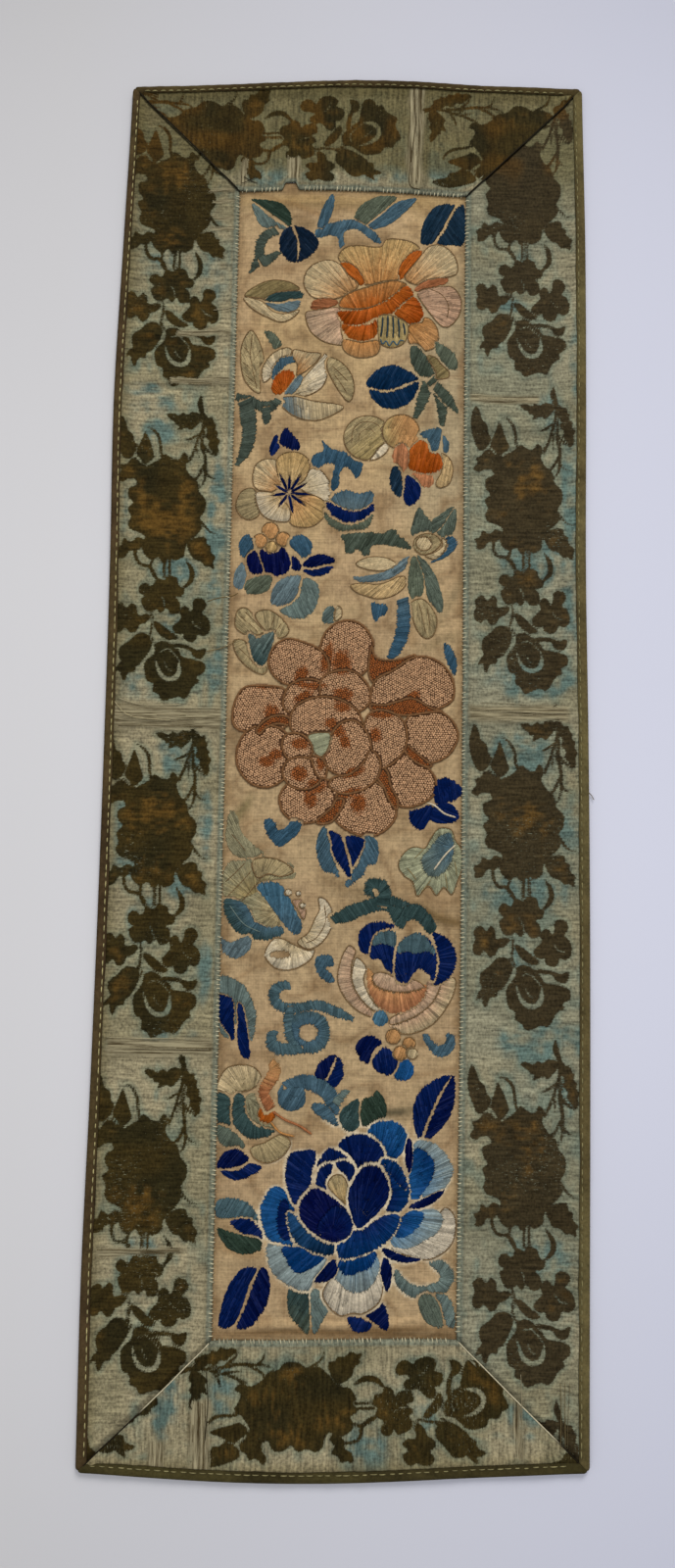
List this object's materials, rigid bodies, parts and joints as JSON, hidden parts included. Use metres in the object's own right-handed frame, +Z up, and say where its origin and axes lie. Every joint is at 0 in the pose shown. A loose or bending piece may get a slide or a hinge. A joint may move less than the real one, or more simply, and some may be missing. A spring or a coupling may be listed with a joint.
{
  "type": "embroidered sleeve band",
  "caption": "Rectangular silk sleeve band: an embroidered floral panel framed by mitred woven ribbon strips and bound round its outer edge, lying flat.",
  "frame": {"origin": "middle of the band's outline, on the surface it lies on", "axes": "+Y along the band towards the end with the navy leaf in its corner, +X across it, +Z up out of the embroidered face"},
  "size_m": [0.2075, 0.6002, 0.0036],
  "materials": {
    "panel_silk": "tan gold silk with satin stitch and knot embroidery",
    "ribbon_silk": "woven silk, dark floral pattern on a pale ground, worn",
    "binding_silk": "plain dull silk, folded and stitched"
  },
  "bodies": {
    "root": {"embroidered_panel": "panel_silk", "ribbon_left": "ribbon_silk", "ribbon_right": "ribbon_silk", "ribbon_bottom": "ribbon_silk", "ribbon_top": "ribbon_silk", "binding_left": "binding_silk", "binding_right": "binding_silk", "binding_bottom": "binding_silk", "binding_top": "binding_silk"}
  },
  "joints": []
}
